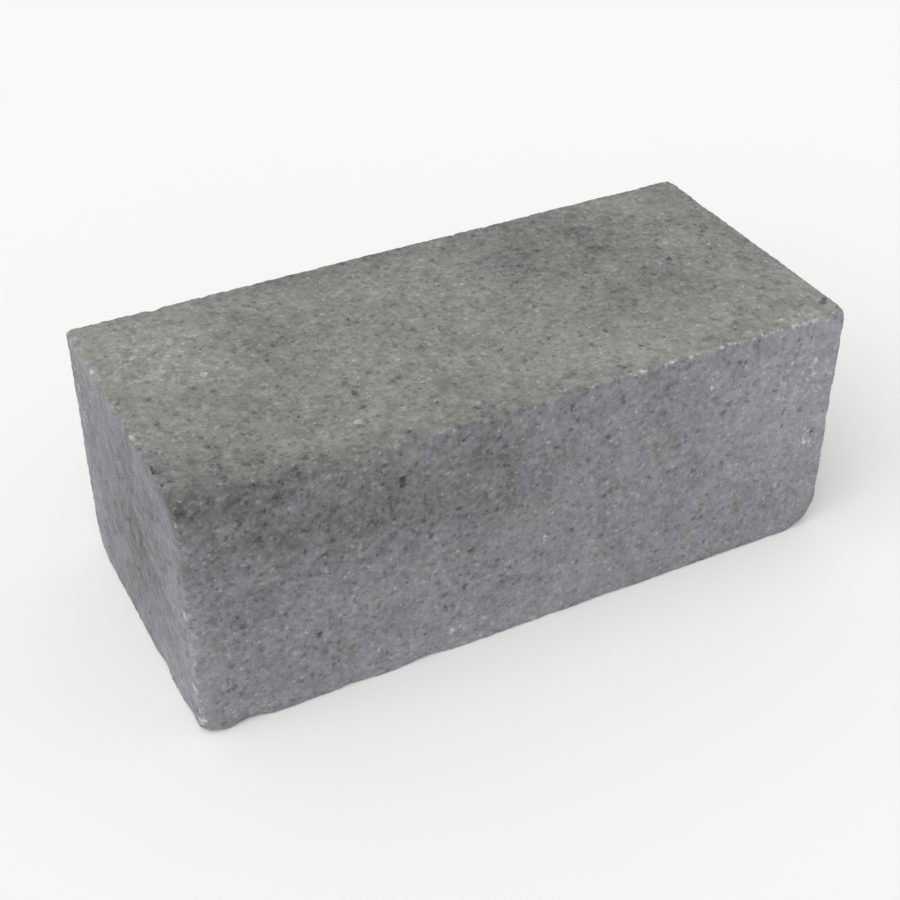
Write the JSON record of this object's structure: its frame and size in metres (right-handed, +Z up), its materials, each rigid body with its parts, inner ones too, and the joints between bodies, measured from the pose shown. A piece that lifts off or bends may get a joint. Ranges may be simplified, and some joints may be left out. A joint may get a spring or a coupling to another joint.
{
  "type": "solid concrete block",
  "caption": "Solid rectangular concrete block with worn arrises and no holes, laid in mortar or dry in walls, piers, edging and paving.",
  "frame": {"origin": "centre of the bed face, which the block rests on", "axes": "+X along the length, +Y from the front face to the back face, +Z up from the bed face to the top face"},
  "size_m": [0.22, 0.1, 0.085],
  "materials": {
    "concrete": "matt grey cast concrete with fine sand grain, small open pits and pale and dark specks"
  },
  "bodies": {
    "root": {"concrete_block": "concrete"}
  },
  "joints": []
}
